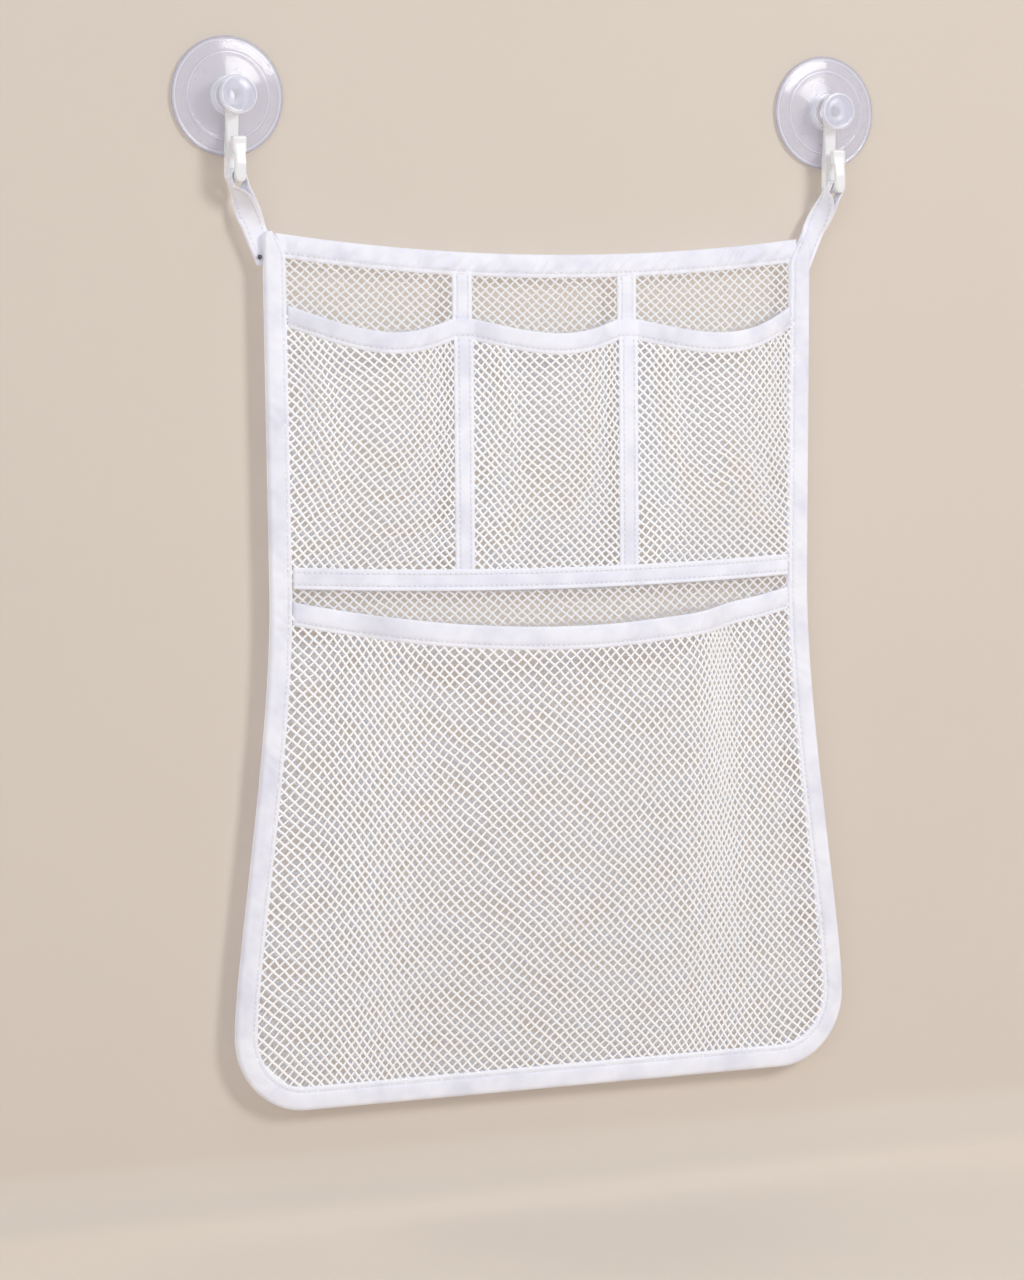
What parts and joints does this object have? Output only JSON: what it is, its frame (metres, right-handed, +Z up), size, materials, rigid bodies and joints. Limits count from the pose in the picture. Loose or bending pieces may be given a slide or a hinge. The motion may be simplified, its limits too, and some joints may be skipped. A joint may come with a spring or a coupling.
{
  "type": "hanging mesh organizer",
  "caption": "Flat mesh storage bag with small pockets above one large pocket, edged in folded tape and hung by tape loops from hooks on suction cups.",
  "frame": {"origin": "on the wall plane, midway between the centres of the two suction cups", "axes": "+Z up, -Y out of the wall towards the user, +X to the right when facing the bag"},
  "size_m": [0.404, 0.0372, 0.541],
  "materials": {
    "cup_vinyl": "clear glossy",
    "hook_plastic": "translucent satin",
    "tape": "woven tape",
    "net": "knitted net",
    "thread": "thread"
  },
  "bodies": {
    "cups": {"left_suction_cup": "cup_vinyl", "right_suction_cup": "cup_vinyl"},
    "left_hook": {"left_hook": "hook_plastic"},
    "left_loop": {"left_loop": "tape"},
    "bag": {"left_loop_tail": "tape", "right_loop_tail": "tape", "back_net": "net", "side_binding": "tape", "top_binding": "tape", "pocket_panel_net": "net", "pocket_panel_rim": "tape", "hem_band": "tape", "large_pocket_net": "net", "large_pocket_rim": "tape", "left_upper_tape": "tape", "right_upper_tape": "tape", "left_divider_tape": "tape", "right_divider_tape": "tape", "thread_knot": "thread"},
    "right_loop": {"right_loop": "tape"},
    "right_hook": {"right_hook": "hook_plastic"}
  },
  "joints": [
    {"name": "left_hook_swivel", "type": "hinge", "parent": "cups", "child": "left_hook", "pos_m": [-0.172, -0.009, 0], "axis": [0, 1, 0], "range_deg": [-15, 15]},
    {"name": "left_loop_turn", "type": "hinge", "parent": "left_hook", "child": "left_loop", "pos_m": [-0.172, -0.0115, -0.0405], "axis": [0, 1, 0], "range_deg": [-15, 15]},
    {"name": "bag_swing", "type": "hinge", "parent": "left_loop", "child": "bag", "pos_m": [-0.1615, -0.0059, -0.064], "axis": [-1, 0, 0], "range_deg": [0, 80]},
    {"name": "right_loop_fold", "type": "hinge", "parent": "bag", "child": "right_loop", "pos_m": [0.1615, -0.0059, -0.064], "axis": [-1, 0, 0], "range_deg": [-80, 0]},
    {"name": "right_hook_swivel", "type": "hinge", "parent": "cups", "child": "right_hook", "pos_m": [0.172, -0.009, 0], "axis": [0, 1, 0], "range_deg": [-15, 15]}
  ],
  "couplings": [
    {"joint": "left_loop_turn", "follows": "left_hook_swivel", "ratio": -1},
    {"joint": "right_hook_swivel", "follows": "left_hook_swivel", "ratio": 1},
    {"joint": "right_loop_fold", "follows": "bag_swing", "ratio": -1}
  ]
}
